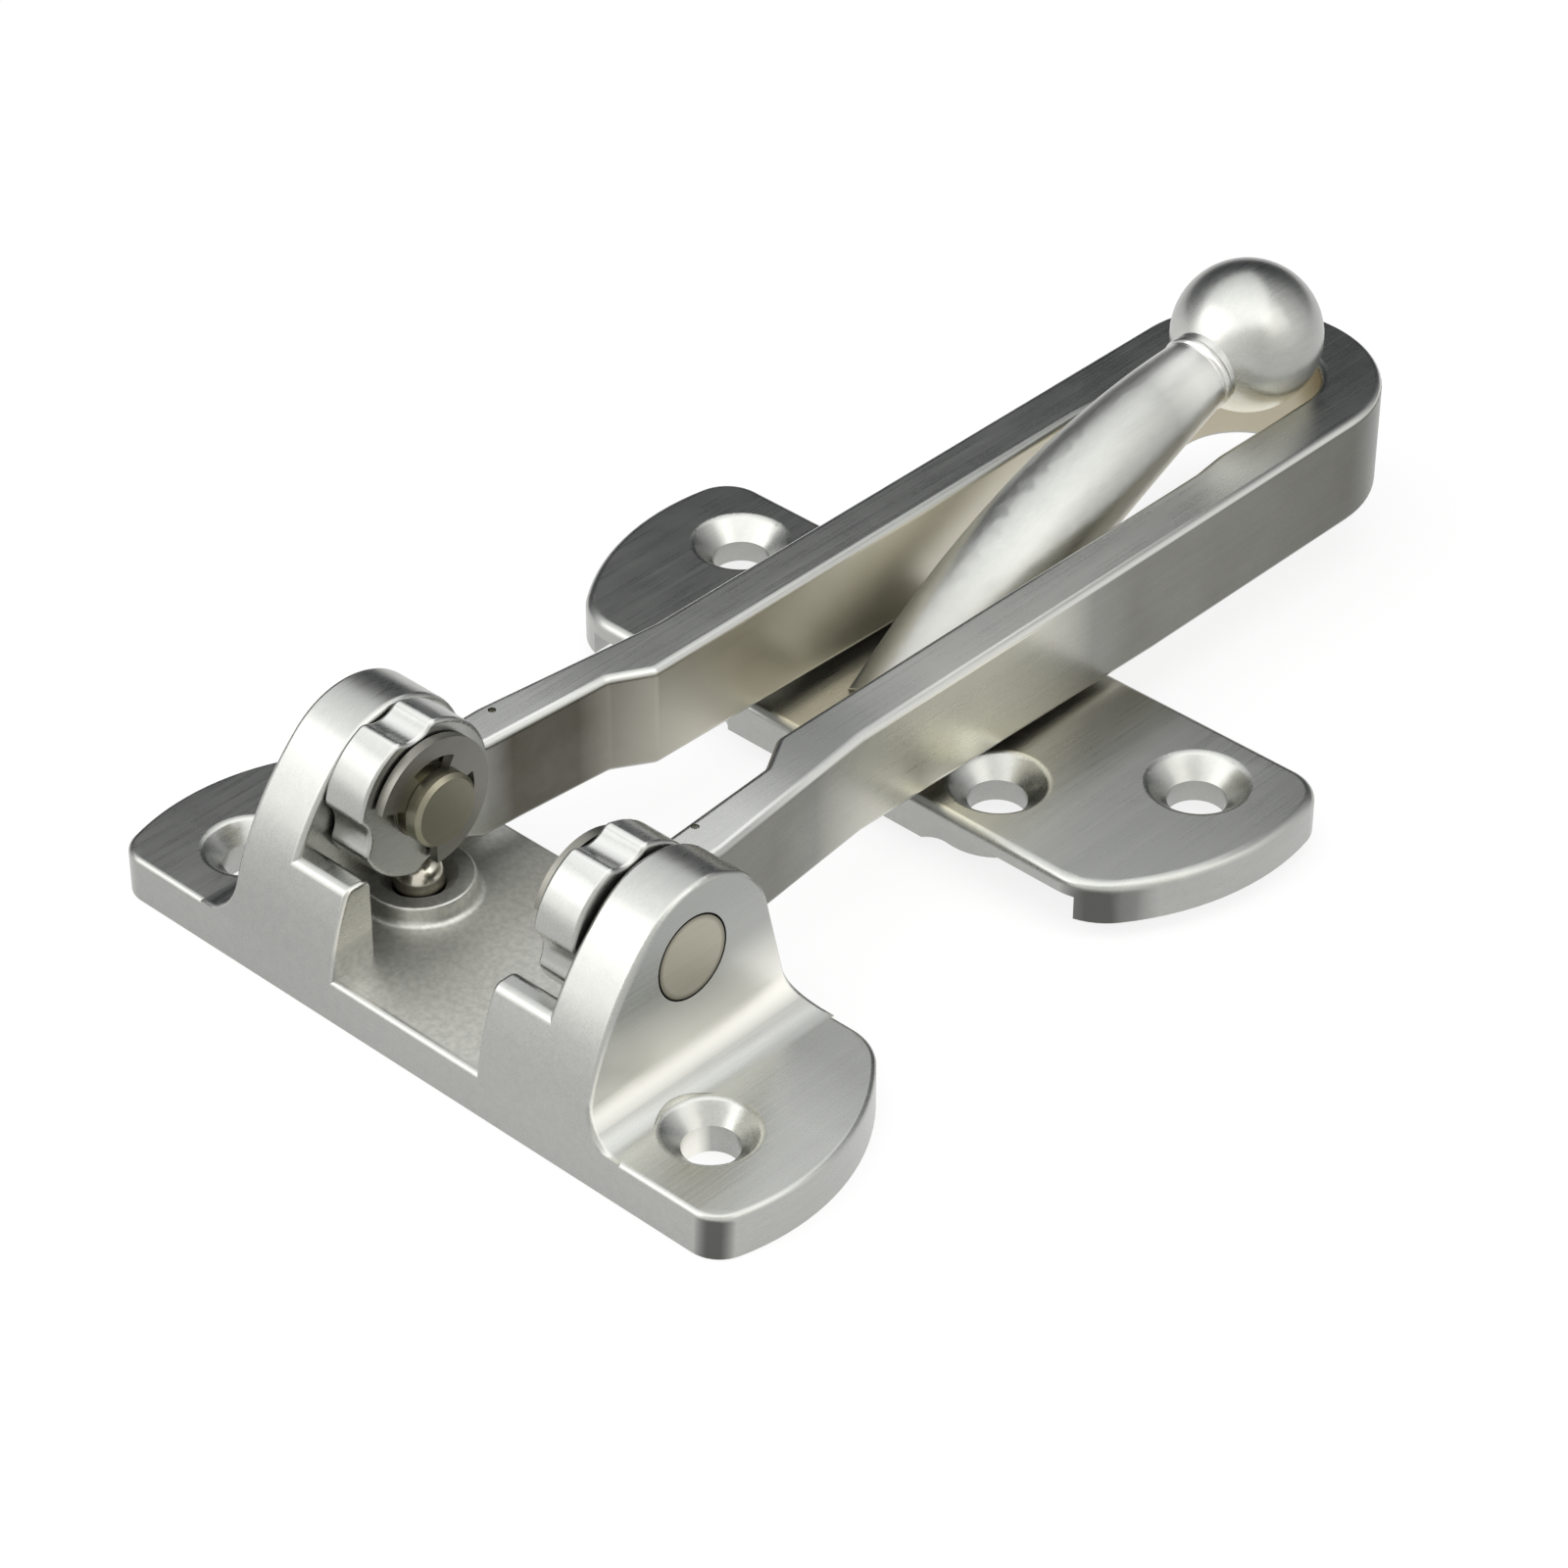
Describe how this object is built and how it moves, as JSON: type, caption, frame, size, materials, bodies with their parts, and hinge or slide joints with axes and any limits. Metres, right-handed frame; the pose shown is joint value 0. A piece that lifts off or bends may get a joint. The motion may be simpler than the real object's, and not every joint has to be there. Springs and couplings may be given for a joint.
{
  "type": "door security latch",
  "caption": "Swing-bar door guard: a hinged U-shaped bar on a jamb plate closes over the ball arm of a keeper plate, and detent balls hold the bar.",
  "frame": {"origin": "on the jamb plate's underside, midway between its two screw holes", "axes": "+X along the plates and the hinge axis, +Y towards the bar's loop, +Z out from the door frame"},
  "size_m": [0.08, 0.132, 0.0315],
  "materials": {
    "jamb_steel": "satin brushed",
    "bar_steel": "satin brushed",
    "keeper_steel": "satin brushed",
    "pin_steel": "turned, satin",
    "clip_steel": "plain spring steel",
    "ball_steel": "polished ball",
    "spring_steel": "drawn wire"
  },
  "bodies": {
    "hinge_mount": {"jamb_plate": "jamb_steel", "pivot_pin_left": "pin_steel", "pivot_pin_right": "pin_steel", "e_clip_left": "clip_steel", "e_clip_right": "clip_steel", "detent_spring_left": "spring_steel", "detent_spring_right": "spring_steel"},
    "bar": {"swing_bar": "bar_steel"},
    "keeper": {"keeper_plate": "keeper_steel"},
    "ball_left": {"detent_ball_left": "ball_steel"},
    "ball_right": {"detent_ball_right": "ball_steel"}
  },
  "joints": [
    {"name": "bar_hinge", "type": "hinge", "parent": "hinge_mount", "child": "bar", "pos_m": [0, 0.0052, 0.017], "axis": [1, 0, 0], "range_deg": [0, 180]},
    {"name": "knob_slide", "type": "slide", "parent": "bar", "child": "keeper", "axis": [0, 1, 0], "range_m": [-0.024, 0.0015]},
    {"name": "detent_left", "type": "slide", "parent": "hinge_mount", "child": "ball_left", "axis": [0, 0, 1], "range_m": [0, 0.0009], "stiffness_N_per_m": 1500, "springref_m": 0.0016, "deforming": ["detent_spring_left"]},
    {"name": "detent_right", "type": "slide", "parent": "hinge_mount", "child": "ball_right", "axis": [0, 0, 1], "range_m": [0, 0.0009], "stiffness_N_per_m": 1500, "springref_m": 0.0016, "deforming": ["detent_spring_right"]}
  ]
}
